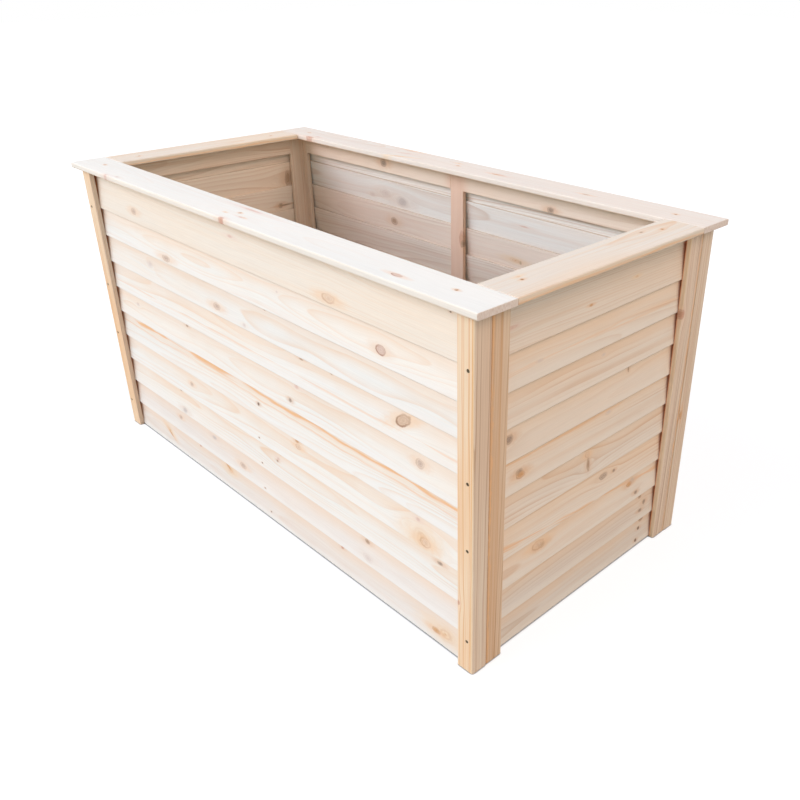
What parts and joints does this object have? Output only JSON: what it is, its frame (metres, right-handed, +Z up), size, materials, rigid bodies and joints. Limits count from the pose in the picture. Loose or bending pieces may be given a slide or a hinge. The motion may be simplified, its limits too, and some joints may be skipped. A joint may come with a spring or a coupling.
{
  "type": "raised garden bed",
  "caption": "Rectangular bottomless garden bed with lapped board walls between upright corner battens, inner battens and rails, and a flat board rim.",
  "frame": {"origin": "on the ground at the middle of the bed", "axes": "+X along the length, +Y from the front wall to the back wall, +Z up"},
  "size_m": [1.54, 0.768, 0.8],
  "materials": {
    "board": "planed unfinished softwood, pale, with small knots",
    "moulding": "planed unfinished softwood, yellow, straight grain",
    "rim": "planed unfinished softwood, nearly white",
    "inner": "planed unfinished softwood, warm brown in the shade",
    "screw": "yellow zinc plated steel, dull"
  },
  "bodies": {
    "root": {"back_board_01": "board", "back_board_02": "board", "back_board_03": "board", "back_board_04": "board", "back_board_05": "board", "back_board_06": "board", "back_board_07": "board", "back_board_08": "board", "back_board_09": "board", "back_board_10": "board", "back_inner_frame": "inner", "corner_moulding_back_left": "moulding", "corner_moulding_back_right": "moulding", "corner_moulding_front_left": "moulding", "corner_moulding_front_right": "moulding", "end_batten_back_left": "moulding", "end_batten_back_right": "moulding", "end_batten_front_left": "moulding", "end_batten_front_right": "moulding", "front_board_01": "board", "front_board_02": "board", "front_board_03": "board", "front_board_04": "board", "front_board_05": "board", "front_board_06": "board", "front_board_07": "board", "front_board_08": "board", "front_board_09": "board", "front_board_10": "board", "front_inner_frame": "inner", "inner_post_back_left": "inner", "inner_post_back_right": "inner", "inner_post_front_left": "inner", "inner_post_front_right": "inner", "left_board_01": "board", "left_board_02": "board", "left_board_03": "board", "left_board_04": "board", "left_board_05": "board", "left_board_06": "board", "left_board_07": "board", "left_board_08": "board", "left_board_09": "board", "left_board_10": "board", "left_top_rail": "inner", "right_board_01": "board", "right_board_02": "board", "right_board_03": "board", "right_board_04": "board", "right_board_05": "board", "right_board_06": "board", "right_board_07": "board", "right_board_08": "board", "right_board_09": "board", "right_board_10": "board", "right_top_rail": "inner", "rim_back": "rim", "rim_front": "rim", "rim_left": "rim", "rim_right": "rim"}
  },
  "joints": []
}
